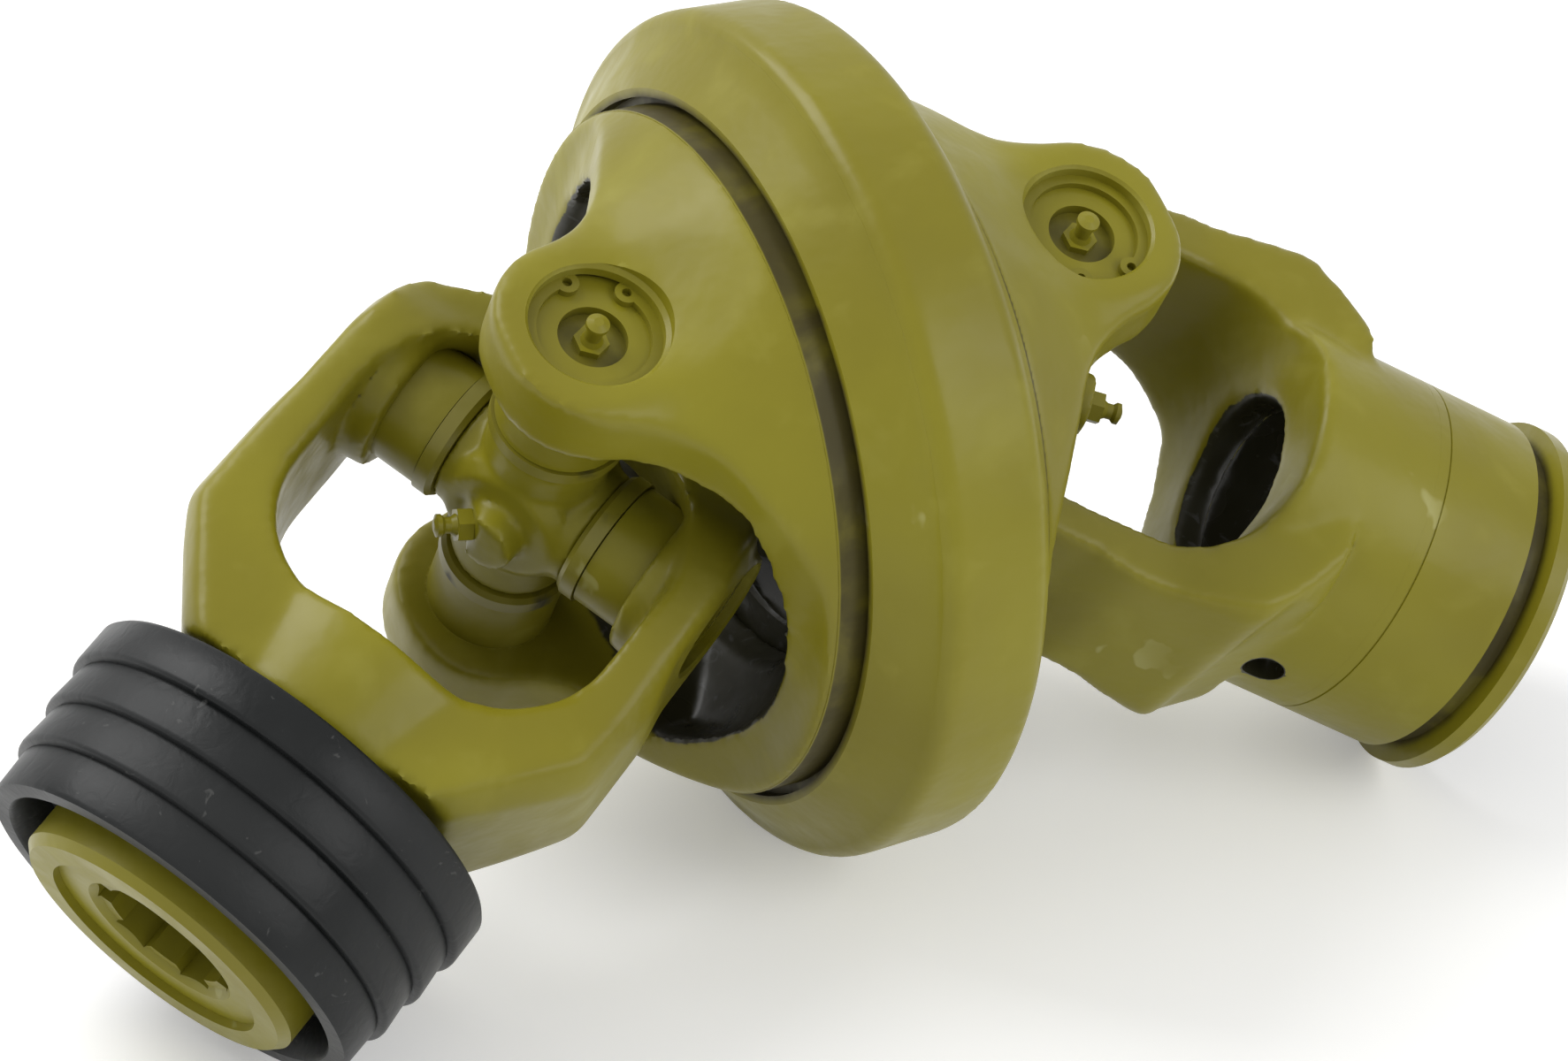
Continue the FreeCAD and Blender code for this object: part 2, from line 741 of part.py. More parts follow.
hub = turned("hub", [
    ("loop_window_floor - 6", "hub_bore_radius"),
    ("loop_window_floor - 6", "hub_shoulder_radius"),
    ("hub_shoulder_place - 2", "hub_shoulder_radius"),
    ("hub_shoulder_place", "hub_shoulder_radius - 2"),
    ("hub_shoulder_place", "hub_radius"),
    ("hub_front", "hub_radius"),
    ("hub_front", "hub_bore_radius"),
])
hub_drill = rod("hub_drill", "hub_bore_radius", "hub_front")
hub_lead = turned("hub_lead", [
    ("hub_front - spline_lead_in", "0"),
    ("hub_front - spline_lead_in", "spline_radius"),
    ("hub_front + 1", "spline_radius + spline_lead_in + 1"),
    ("hub_front + 1", "0"),
])
spline_tools = []
for number in range(int(value("spline_count"))):
    space = doc.addObject("Part::Box", "spline_space_%d" % number)
    turn = Rotation(ALONG, 360.0 / value("spline_count") * number)
    corner = Vector(0, -value("spline_space / 2"), 0)
    space.Placement = Placement(turn.multVec(corner), turn)
    bind(space, Length="hub_front + 1", Width="spline_space", Height="spline_radius")
    spline_tools.append(space)
ball_holes = []
balls = []
for number in range(int(value("ball_count"))):
    turn = Rotation(ALONG, 360.0 / value("ball_count") * (number + 0.25))
    way = turn.multVec(SIDE)
    ball_holes.append(rod("ball_hole_%d" % number, "ball_radius + ball_gap", "hub_radius",
                          ALONG * value("ball_place"), way))
    ball = doc.addObject("Part::Sphere", "ball_%d" % number)
    bind(ball, Radius="ball_radius")
    ball.Placement = Placement(ALONG * value("ball_place")
                               + way * value("hub_radius - ball_radius"), Rotation())
    balls.append(ball)
front_loop = loop("yoke_front", "base_place", "10", "base_half_breadth",
                  "hub_shoulder_place - 2", "hub_shoulder_width", "(hub_shoulder_radius - 4)",
                  "loop_turning_radius", "hub_shoulder_radius + 7")
front_blank = joined("yoke_front_blank", front_loop, hub)
front_tools = joined("yoke_front_tools", *loop_tools("yoke_front", "loop_window_floor"), hub_drill, hub_lead,
                     *spline_tools, *ball_holes)
placed(cut("yoke_front_cut", front_blank, front_tools), "splined_yoke", yoke_frame(FRONT))
ball_set = doc.addObject("Part::Compound", "ball_set")
ball_set.Links = balls
placed(ball_set, "locking_balls", yoke_frame(FRONT))

tube_body = turned("tube_body", [
    ("tube_body_start", "0"),
    ("tube_body_start", "tube_body_radius - 9"),
    ("tube_body_start + 9", "tube_body_radius", "10"),
    ("tube_groove_place - 1.5", "tube_body_radius"),
    ("tube_groove_place", "tube_groove_radius"),
    ("bead_place", "tube_groove_radius"),
    ("bead_place + 1", "bead_radius"),
    ("tube_end - 2", "bead_radius"),
    ("tube_end", "bead_radius - 2"),
    ("tube_end", "0"),
])
tube_bore = turned("tube_bore", [
    ("0", "0"),
    ("0", "tube_through_radius"),
    ("tube_bore_floor", "tube_through_radius"),
    ("tube_bore_floor", "tube_bore_radius"),
    ("tube_end - tube_recess_depth", "tube_bore_radius"),
    ("tube_end - tube_recess_depth + 4", "tube_recess_radius"),
    ("tube_end + 1", "tube_recess_radius"),
    ("tube_end + 1", "0"),
])
pin_way = Rotation(ALONG, value("spring_pin_turn")).multVec(SIDE)
pin_start = ALONG * value("spring_pin_place") - pin_way * value("2 * tube_body_radius")
pin_hole = rod("spring_pin_hole", "spring_pin_radius", "4 * tube_body_radius", pin_start, pin_way)
back_loop = loop("yoke_back", "tube_base_place", "3.5", "tube_shoulder_breadth",
                 "tube_base_place + 11", "(tube_body_radius - 1)", "(tube_body_radius - 6)",
                 "tube_turning_radius", "tube_body_radius")
back_blank = joined("yoke_back_blank", back_loop, tube_body)
back_tools = joined("yoke_back_tools", *loop_tools("yoke_back", "tube_window_floor"), tube_bore, pin_hole)
placed(cut("yoke_back_cut", back_blank, back_tools), "tube_yoke", yoke_frame(BACK))

for end in (FRONT, BACK):
    pin = turned("guide_" + end, [
        ("-guide_reach", "0"),
        ("-guide_reach", "guide_stem_radius - 0.02"),
        ("-loop_back_inside", "guide_stem_radius - 0.02"),
        ("-loop_back_inside", "0"),
    ])
    head = doc.addObject("Part::Sphere", "guide_head_" + end)
    head.Placement = Placement(ALONG * -value("guide_reach"), Rotation())
    bind(head, Radius="guide_radius")
    placed(joined("guide_pin_" + end, pin, head), "guide_pin_" + end, yoke_frame(end))


# Control disc and its cover ring, held off centre by both guide pins.
def disc_offset():
    """How far the guide pins carry the disc off the housing's axis."""
    tip = yoke_frame(FRONT).multVec(ALONG * -value("guide_reach"))
    return Vector(0, tip.y, 0), Vector(0, 0, tip.z)


across, down = disc_offset()
disc = turned("disc", [
    ("-sleeve_reach + 2 * sleeve_flare", "guide_radius + guide_slack"),
    ("-sleeve_reach", "guide_radius + guide_slack + sleeve_flare"),
    ("-sleeve_reach", "guide_radius + guide_slack + sleeve_wall"),
    ("-disc_thickness / 2", "guide_radius + guide_slack + sleeve_wall"),
    ("-disc_thickness / 2", "disc_radius"),
    ("disc_thickness / 2", "disc_radius"),
    ("disc_thickness / 2", "guide_radius + guide_slack + sleeve_wall"),
    ("sleeve_reach", "guide_radius + guide_slack + sleeve_wall"),
    ("sleeve_reach", "guide_radius + guide_slack + sleeve_flare"),
    ("sleeve_reach - 2 * sleeve_flare", "guide_radius + guide_slack"),
])
placed(disc, "control_disc", Placement(across + down, Rotation()))
cover_back = "-disc_thickness / 2 - disc_slack"
cover = turned("cover", [
    (cover_back, "lip_radius + 2"),
    (cover_back, "rim_radius - 4"),
    (cover_back + " - cover_thickness", "rim_radius - 4"),
    (cover_back + " - cover_thickness", "lip_radius + 2"),
])
placed(cover, "disc_cover_ring", Placement(across, Rotation()))


# Locking collar on the splined hub, its stop ring and its spring.
stop = turned("stop", [
    ("stop_ring_back", "hub_radius + cup_fit"),
    ("stop_ring_back", "stop_ring_radius"),
    ("stop_ring_front - 2", "stop_ring_radius"),
    ("stop_ring_front", "stop_ring_radius - 2"),
    ("stop_ring_front", "hub_radius + cup_fit"),
])
placed(stop, "collar_stop_ring", yoke_frame(FRONT))

RIDGES = 4
ridge_length = "(collar_front - collar_back) / %d" % RIDGES
skin = []
for number in range(RIDGES):
    start = "collar_back + %d * %s" % (number, ridge_length)
    top = "collar_radius - %d * (collar_radius - collar_front_radius) / %d" % (number, RIDGES)
    skin.append((start, top))
    skin.append((start + " + " + ridge_length, top + " - collar_step"))
collar = turned("collar", [
    ("collar_back", "collar_radius - collar_wall"),
    *skin,
    ("collar_front", "collar_front_radius - collar_wall + 1"),
    ("collar_web_front", "collar_front_radius - collar_wall"),
    ("collar_web_front", "hub_radius + collar_slide_fit"),
    ("collar_web_back", "hub_radius + collar_slide_fit"),
    ("collar_web_back", "collar_front_radius - collar_wall"),
])
placed(collar, "locking_collar", yoke_frame(FRONT))


# Rest.  The joint lies on three rims: the collar's, the housing's and the
# tube yoke's.  Its up direction is the one that puts all three on the floor.
def rim(frame, place, radius):
    """One round edge about a frame's X axis, in the housing's frame."""
    centre = frame.multVec(ALONG * value(place))
    return centre, frame.Rotation.multVec(ALONG), value(radius)


def lowest(rims, up):
    heights = []
    for centre, axis, radius in rims:
        heights.append(centre.dot(up) - radius * math.sqrt(1 - axis.dot(up) ** 2))
    return min(heights)


def upwards(roll, pitch):
    return Vector(math.sin(pitch), math.cos(pitch) * math.cos(roll),
                  -math.cos(pitch) * math.sin(roll))


collar_rims = [rim(yoke_frame(FRONT), place, radius) for place, radius in skin]
housing_rims = [
    rim(beside(BACK), "-ridge_place", "ridge_radius"),
    rim(beside(BACK), "back_edge_place - edge_bevel", "back_edge_radius"),
]
tube_rims = [
    rim(yoke_frame(BACK), "bead_place + 1", "bead_radius"),
    rim(yoke_frame(BACK), "tube_end - 2", "bead_radius"),
]


def uneven(roll, pitch):
    """How far the collar and the tube yoke stand above the housing's foot."""
    up = upwards(roll, pitch)
    floor = lowest(housing_rims, up)
    return lowest(collar_rims, up) - floor, lowest(tube_rims, up) - floor


roll, pitch = math.radians(29), 0.0
STEP = 1e-5
for attempt in range(30):
    first, second = uneven(roll, pitch)
    first_roll, second_roll = uneven(roll + STEP, pitch)
    first_pitch, second_pitch = uneven(roll, pitch + STEP)
    first_by_roll = (first_roll - first) / STEP
    first_by_pitch = (first_pitch - first) / STEP
    second_by_roll = (second_roll - second) / STEP
    second_by_pitch = (second_pitch - second) / STEP
    scale = first_by_roll * second_by_pitch - first_by_pitch * second_by_roll
    roll -= (second_by_pitch * first - first_by_pitch * second) / scale
    pitch -= (first_by_roll * second - second_by_roll * first) / scale
up = upwards(roll, pitch)
lay = Placement(ORIGIN, Rotation(ALONG, SIDE.cross(ALONG), up, "ZXY").inverted())

doc.recompute()
for part in parts:
    part.Placement = lay * part.Placement
doc.recompute()
box = FreeCAD.BoundBox()
for part in parts:
    box.add(part.Shape.optimalBoundingBox(False, False))
shift = Placement(Vector(-box.Center.x, -box.Center.y, -box.ZMin), Rotation())
for part in parts:
    part.Placement = shift * part.Placement
doc.recompute()

for thing in doc.Objects:
    if "Invalid" in thing.State or "Error" in thing.State:
        raise RuntimeError("%s did not build" % thing.Name)
for part in parts:
    if part.Shape.isNull() or not part.Shape.isValid():
        raise RuntimeError("%s is not a sound solid" % part.Label)

os.makedirs("parts", exist_ok=True)
for part in parts:
    part.Shape.exportStep("parts/%s.step" % part.Label)
print("%d sub-parts, %.1f x %.1f x %.1f mm" % (len(parts), box.XLength, box.YLength, box.ZLength))
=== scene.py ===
import bmesh
import bpy
import json
import math
from mathutils import Matrix, Vector


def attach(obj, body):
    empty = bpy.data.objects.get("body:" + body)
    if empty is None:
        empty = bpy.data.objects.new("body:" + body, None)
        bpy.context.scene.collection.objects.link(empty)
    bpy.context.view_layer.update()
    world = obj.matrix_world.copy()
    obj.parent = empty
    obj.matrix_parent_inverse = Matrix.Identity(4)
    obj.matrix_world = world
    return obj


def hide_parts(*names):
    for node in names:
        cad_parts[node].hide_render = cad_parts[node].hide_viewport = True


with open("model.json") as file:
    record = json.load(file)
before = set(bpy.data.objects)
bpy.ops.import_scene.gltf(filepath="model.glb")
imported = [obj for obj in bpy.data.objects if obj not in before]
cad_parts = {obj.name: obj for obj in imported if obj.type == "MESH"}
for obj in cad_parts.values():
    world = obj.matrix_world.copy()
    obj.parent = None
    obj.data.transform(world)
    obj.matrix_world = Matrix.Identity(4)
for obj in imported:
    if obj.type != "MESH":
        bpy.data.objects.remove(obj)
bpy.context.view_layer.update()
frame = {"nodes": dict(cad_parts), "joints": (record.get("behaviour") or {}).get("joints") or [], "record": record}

# Camera: a long lens that looks down on the joint from in front, with the
# splined yoke nearest on the left and the tube yoke going off to the right.
VIEW_CENTRE = Vector((-0.0030, -0.0129, 0.0803))
VIEW_AZIMUTH = math.radians(30.266)
VIEW_ELEVATION = math.radians(33.883)
VIEW_ROLL = math.radians(4.561)
VIEW_DISTANCE = 1.0385
look = Vector((math.sin(VIEW_AZIMUTH) * math.cos(VIEW_ELEVATION),
               math.cos(VIEW_AZIMUTH) * math.cos(VIEW_ELEVATION),
               -math.sin(VIEW_ELEVATION)))
camera_data = bpy.data.cameras.new("camera")
camera_data.lens = 103.77
camera_data.sensor_width = 36
camera = bpy.data.objects.new("camera", camera_data)
bpy.context.scene.collection.objects.link(camera)
level = look.to_track_quat("-Z", "Y").to_matrix()
camera.matrix_world = (Matrix.Translation(VIEW_CENTRE - look * VIEW_DISTANCE)
                       @ (level @ Matrix.Rotation(VIEW_ROLL, 3, "Z")).to_4x4())
bpy.context.scene.camera = camera


# Paint: thick olive machine enamel, sprayed over the finished joint and
# greased by hand later.  It is glossy, a little uneven over the rough
# castings, rubbed pale on edges and dirty where grease has been thrown.
# Its hollows, recesses and grooves are darkened as painted shade.
OLIVE = (0.240, 0.214, 0.012, 1)
OLIVE_DEEP = (0.198, 0.172, 0.009, 1)
OLIVE_PALE = (0.33, 0.305, 0.055, 1)
SCUFFED = (0.42, 0.40, 0.15, 1)
GREASE = (0.028, 0.026, 0.013, 1)
GREASE_SMEAR = (0.085, 0.085, 0.08, 1)
# The dark brown below is used both for dirt and for painted shade.
GRIME_AND_SHADE = (0.034, 0.026, 0.006, 1)


def new_group(name, inputs, outputs):
    """An empty shader group with its sockets, and its two end nodes."""
    group = bpy.data.node_groups.new(name, "ShaderNodeTree")
    for label, kind in inputs.items():
        group.interface.new_socket(label, in_out="INPUT", socket_type="NodeSocket" + kind)
    for label, kind in outputs.items():
        group.interface.new_socket(label, in_out="OUTPUT", socket_type="NodeSocket" + kind)
    given = group.nodes.new("NodeGroupInput").outputs
    return group, given, group.nodes.new("NodeGroupOutput").inputs


def noise(tree, place, scale, detail=3.0, distortion=0.0):
    """Soft noise over a place, with scale patches to the metre."""
    node = tree.nodes.new("ShaderNodeTexNoise")
    node.inputs["Scale"].default_value = scale
    node.inputs["Detail"].default_value = detail
    node.inputs["Distortion"].default_value = distortion
    tree.links.new(place, node.inputs["Vector"])
    return node.outputs["Fac"]


def feed(tree, socket, source):
    """Link a socket, or set it where the source is a plain value."""
    if isinstance(source, bpy.types.NodeSocket):
        tree.links.new(source, socket)
    else:
        socket.default_value = source


def between(tree, source, low, high, to_low=0.0, to_high=1.0):
    """A smooth step of source from low to high."""
    node = tree.nodes.new("ShaderNodeMapRange")
    node.interpolation_type = "SMOOTHSTEP"
    for socket, number in zip(node.inputs[1:5], (low, high, to_low, to_high)):
        feed(tree, socket, number)
    tree.links.new(source, node.inputs[0])
    return node.outputs[0]


def mixed(tree, factor, first, second):
    """The first colour where factor is nought, the second where it is one."""
    node = tree.nodes.new("ShaderNodeMix")
    node.data_type = "RGBA"
    feed(tree, node.inputs[0], factor)
    feed(tree, node.inputs[6], first)
    feed(tree, node.inputs[7], second)
    return node.outputs[2]


def maths(tree, operation, first, second):
    """One sum on two numbers of a shader."""
    node = tree.nodes.new("ShaderNodeMath")
    node.operation = operation
    feed(tree, node.inputs[0], first)
    feed(tree, node.inputs[1], second)
    return node.outputs[0]


enamel, given, out = new_group(
    "enamel", {"Place": "Vector", "Edges": "Float", "Dirt": "Float"},
    {"Color": "Color", "Roughness": "Float", "Height": "Float"})
place = given["Place"]
clouds = noise(enamel, place, 14, 3)
blotches = noise(enamel, place, 60, 4, 0.4)
coat = mixed(enamel, between(enamel, clouds, 0.35, 0.68), OLIVE_DEEP, OLIVE)
coat = mixed(enamel, between(enamel, blotches, 0.52, 0.80, 0, 0.30), coat, OLIVE_PALE)
edge = enamel.nodes.new("ShaderNodeNewGeometry").outputs["Pointiness"]
rubbed = maths(enamel, "MULTIPLY", between(enamel, edge, 0.515, 0.60), given["Edges"])
rubbed = maths(enamel, "MULTIPLY", rubbed, between(enamel, blotches, 0.36, 0.60))
coat = mixed(enamel, rubbed, coat, OLIVE_PALE)
scuffs = between(enamel, noise(enamel, place, 48, 3, 0.2), 0.685, 0.71, 0, 0.6)
scuffs = maths(enamel, "MULTIPLY", scuffs, between(enamel, clouds, 0.50, 0.62))
coat = mixed(enamel, scuffs, coat, SCUFFED)
# Hollows, where pointiness is low, are darkened as painted shade; film adds them to the dirt and painted shade
# that the marks carry.
hollows = maths(enamel, "MULTIPLY", between(enamel, edge, 0.495, 0.44), given["Edges"])
film = maths(enamel, "MULTIPLY", maths(enamel, "ADD", hollows, given["Dirt"]),
             between(enamel, blotches, 0.25, 0.60, 0.55, 1.0))
coat = mixed(enamel, between(enamel, film, 0, 1, 0, 0.92), coat, GRIME_AND_SHADE)
feed(enamel, out["Color"], coat)
gloss = between(enamel, blotches, 0.30, 0.72, 0.33, 0.47)
feed(enamel, out["Roughness"], maths(enamel, "ADD", gloss, maths(enamel, "MULTIPLY", film, 0.15)))
ripple = maths(enamel, "MULTIPLY", noise(enamel, place, 420, 0), 0.10)
feed(enamel, out["Height"], maths(enamel, "ADD", ripple, noise(enamel, place, 55, 2)))

# Grease: black and wet in the room of the housing and the bores, with a few
# pale wiped smears.  The marks of each casting say where it lies.
grease, given, out = new_group(
    "grease", {"Place": "Vector", "Amount": "Float", "Color": "Color", "Roughness": "Float"},
    {"Color": "Color", "Roughness": "Float"})
place = given["Place"]
ragged = maths(grease, "ADD", given["Amount"],
               between(grease, noise(grease, place, 70, 4, 0.8), 0.30, 0.70, -0.25, 0.25))
covered = between(grease, ragged, 0.35, 0.65)
wiped = between(grease, noise(grease, place, 95, 4, 2.5), 0.60, 0.70, 0, 0.7)
feed(grease, out["Color"], mixed(grease, covered, given["Color"],
                                 mixed(grease, wiped, GREASE, GREASE_SMEAR)))
wet = between(grease, noise(grease, place, 40, 3), 0.35, 0.70, 0.22, 0.55)
wetter = maths(grease, "SUBTRACT", wet, given["Roughness"])
wetter = maths(grease, "MULTIPLY", covered, wetter)
feed(grease, out["Roughness"], maths(grease, "ADD", given["Roughness"], wetter))


def finish(name, build):
    """A material whose colour, roughness and height come from build."""
    material = bpy.data.materials.new(name)
    material.use_nodes = True
    tree = material.node_tree
    shader = tree.nodes["Principled BSDF"]
    where = tree.nodes.new("ShaderNodeTexCoord").outputs["Object"]
    colour, roughness, height, depth = build(tree, where)
    feed(tree, shader.inputs["Base Color"], colour)
    feed(tree, shader.inputs["Roughness"], roughness)
    bump = tree.nodes.new("ShaderNodeBump")
    bump.inputs["Distance"].default_value = depth
    feed(tree, bump.inputs["Height"], height)
    feed(tree, shader.inputs["Normal"], bump.outputs["Normal"])
    return material, shader


def placed_group(tree, group, **values):
    """A shared effect in a material's own tree, with its values fed."""
    node = tree.nodes.new("ShaderNodeGroup")
    node.node_tree = group
    for label, source in values.items():
        feed(tree, node.inputs[label], source)
    return node.outputs


PAINT_DEPTH = 0.0005


def enamelled(name, edges, dirt):
    """Olive enamel.  On a casting the mesh's own marks say where grease covers
    it, where it is grimy and darkened as painted shade, and where its edges are rubbed."""
    def build(tree, where):
        if not edges:
            coat = placed_group(tree, enamel, Place=where, Edges=0.0, Dirt=dirt)
            return coat["Color"], coat["Roughness"], coat["Height"], PAINT_DEPTH
        marks = tree.nodes.new("ShaderNodeAttribute")
        marks.attribute_name = "marks"
        apart = tree.nodes.new("ShaderNodeSeparateColor")
        feed(tree, apart.inputs[0], marks.outputs["Color"])
        coat = placed_group(tree, enamel, Place=where, Dirt=apart.outputs[1],
                            Edges=maths(tree, "MULTIPLY", apart.outputs[2], edges))
        cover = placed_group(tree, grease, Place=where, Amount=apart.outputs[0],
                             Color=coat["Color"], Roughness=coat["Roughness"])
        return cover["Color"], cover["Roughness"], coat["Height"], PAINT_DEPTH
    material, shader = finish(name, build)
    shader.inputs["Specular IOR Level"].default_value = 0.25
    shader.inputs["Coat Weight"].default_value = 0.06
    shader.inputs["Coat Roughness"].default_value = 0.15
    return material


painted_casting = enamelled("painted_casting", 0.8, 0.0)
painted_steel = enamelled("painted_steel", 0.0, 0.16)


def dress(node, material):
    """Give a CAD node's own object a finish."""
    mesh = frame["nodes"][node].data
    mesh.materials.clear()
    mesh.materials.append(material)


# Housing: two forged halves, each a round plate with two ears that hold a
# cross.  The front one ends in a flange and the back one in a broad stepped
# ring, and the two are locked together by a wire ring.  The forgings have
# soft edges, and only the rims and the bores for the bearings are machined.
def joint_axis(name):
    """Where a joint turns, and about which way."""
    joint = next(joint for joint in frame["joints"] if joint["name"] == name)
    return Vector(joint["pos_m"]), Vector(joint["axis"]).normalized()


FRONT_CENTRE, PIN_WAY = joint_axis("front_fork_swing")
BACK_CENTRE = joint_axis("back_fork_swing")[0]
HOUSING_WAY = (BACK_CENTRE - FRONT_CENTRE).normalized()
HOUSING_MIDDLE = (BACK_CENTRE + FRONT_CENTRE) / 2
MM = 0.001
VOXEL = 1.3 * MM
CUP_RADIUS = 15.12 * MM
PLUG_RADIUS = 16.9 * MM
CLIP_GROOVE_RADIUS = 16.4 * MM
CLIP_GROOVE_WIDTH = 1.75 * MM
BORE_OVERRUN = 12 * MM
MOUTH_OVERRUN = 14 * MM


def welded_copy(node, name):
    """A new object with the welded mesh of a CAD node."""
    mesh = frame["nodes"][node].data.copy()
    if "custom_normal" in mesh.attributes:
        mesh.attributes.remove(mesh.attributes["custom_normal"])
    shape = bmesh.new()
    shape.from_mesh(mesh)
    bmesh.ops.remove_doubles(shape, verts=shape.verts, dist=2e-6)
    shape.to_mesh(mesh)
    shape.free()
    piece = bpy.data.objects.new(name, mesh)
    bpy.context.scene.collection.objects.link(piece)
    return piece


def bake(piece):
    """Apply the modifiers of a piece."""
    piece.data = bpy.data.meshes.new_from_object(
        piece.evaluated_get(bpy.context.evaluated_depsgraph_get()))
    piece.modifiers.clear()


def add_rod(piece, centre, way, start, end, radius):
    """Join a closed rod to a piece's mesh."""
    shape = bmesh.new()
    shape.from_mesh(piece.data)
    turn = way.to_track_quat("Z", "Y").to_matrix().to_4x4()
    bmesh.ops.create_cone(shape, cap_ends=True, segments=96, radius1=radius, radius2=radius,
                          depth=end - start,
                          matrix=Matrix.Translation(centre + way * (start + end) / 2) @ turn)
    shape.to_mesh(piece.data)
    shape.free()


def spun(name, centre, way, profile, steps=128):
    """A closed turned body from (place, radius) pairs along way."""
    shape = bmesh.new()
    outwards = way.orthogonal().normalized()
    points = [shape.verts.new(centre + way * place + outwards * radius)
              for place, radius in profile]
    lines = [shape.edges.new(pair) for pair in zip(points, points[1:])]
    bmesh.ops.spin(shape, geom=points + lines, cent=centre, axis=way,
                   angle=math.tau, steps=steps, use_merge=True)
    bmesh.ops.remove_doubles(shape, verts=shape.verts, dist=1e-6)
    bmesh.ops.recalc_face_normals(shape, faces=shape.faces)
    mesh = bpy.data.meshes.new(name)
    shape.to_mesh(mesh)
    shape.free()
    tool = bpy.data.objects.new(name, mesh)
    bpy.context.scene.collection.objects.link(tool)
    return tool


def machine(piece, tool, operation="DIFFERENCE"):
    """Cut a tool out of a piece, or keep what both share."""
    modifier = piece.modifiers.new("machine", "BOOLEAN")
    modifier.operation = operation
    modifier.solver = "EXACT"
    modifier.object = tool
    bake(piece)
    bpy.data.objects.remove(tool)


def soften(piece, strength, passes, all_over, voxel=VOXEL):
    """Remesh a forging and smooth it, more where strength nears one."""
    remesh = piece.modifiers.new("skin", "REMESH")
    remesh.mode = "VOXEL"
    remesh.voxel_size = voxel
    bake(piece)
    forged = piece.vertex_groups.new(name="forged")
    for vertex in piece.data.vertices:
        forged.add([vertex.index], strength(vertex.co), "REPLACE")
    for group, count in (("forged", passes), ("", all_over)):
        smooth = piece.modifiers.new("smooth", "SMOOTH")
        smooth.iterations = count
        smooth.factor = 0.5
        smooth.vertex_group = group
    bake(piece)
    piece.vertex_groups.clear()


def around(point, centre, way):
    """How far a point lies along an axis, and how far out from it."""
    offset = point - centre
    place = offset.dot(way)
    return place, (offset - way * place).length


def step(number, low, high):
    """A smooth step from nought at low to one at high."""
    share = min(max((number - low) / (high - low), 0), 1)
    return share * share * (3 - 2 * share)


def bore_cups(piece, centre, way, ear_inside, cup_face, ear_face):
    """Machine both cup bores of a fork, each with clip groove and chamfer."""
    inner = ear_inside - BORE_OVERRUN
    clip = cup_face + CLIP_GROOVE_WIDTH
    outer = ear_face + MOUTH_OVERRUN
    for side in (-1, 1):
        machine(piece, spun("bore", centre, way * side, [
            (inner, 0),
            (inner, CUP_RADIUS),
            (cup_face, CUP_RADIUS),
            (cup_face, CLIP_GROOVE_RADIUS),
            (clip, CLIP_GROOVE_RADIUS),
            (clip, CUP_RADIUS),
            (ear_face - 0.7 * MM, CUP_RADIUS),
            (ear_face + 0.3 * MM, CUP_RADIUS + 1.0 * MM),
            (outer, CUP_RADIUS + 1.4 * MM),
            (outer, 0)]))


REACH = 150 * MM
REGION_STEPS = 48


def past(seam, inner=0.0):
    """The region beyond a seam and outside an inner radius."""
    return [(seam, inner), (seam, REACH), (REACH, REACH), (REACH, inner)]


def keep_turned(piece, node, centre, way, region, rings=()):
    """Inside the turned region the piece gets the crisp faces of its CAD
    node, with extra rings of points for its marks."""
    crisp = welded_copy(node, node + "_turned")
    machine(piece, spun("turned_side", centre, way, region + region[:1], REGION_STEPS))
    machine(crisp, spun("turned_side", centre, way, region + region[:1], REGION_STEPS),
            "INTERSECT")
    shape = bmesh.new()
    shape.from_mesh(crisp.data)
    for place in rings:
        bmesh.ops.bisect_plane(shape, geom=shape.verts[:] + shape.edges[:] + shape.faces[:],
                               plane_co=centre + way * place, plane_no=way)
    shape.from_mesh(piece.data)
    shape.to_mesh(piece.data)
    shape.free()
    bpy.data.objects.remove(crisp)


def mark(piece, amounts):
    """Write how greased each point is, how grimy and darkened as painted shade, and how rubbed, in one attribute.
    """
    marks = piece.data.attributes.new("marks", "FLOAT_COLOR", "POINT")
    values = []
    for vertex in piece.data.vertices:
        values.extend(amounts(vertex.co))
        values.append(1)
    marks.data.foreach_set("color", values)


def shade(piece, material, body, node):
    """Paint a piece, and let it ride and stand in for its CAD node."""
    piece.data.materials.clear()
    piece.data.materials.append(material)
    piece.data.shade_smooth()
    piece.data.set_sharp_from_angle(angle=math.radians(32))
    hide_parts(node)
    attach(piece, body)


EAR_INSIDE = 46 * MM
HOUSING_CUP_FACE = 59.3 * MM
HOUSING_EAR_FACE = 64 * MM
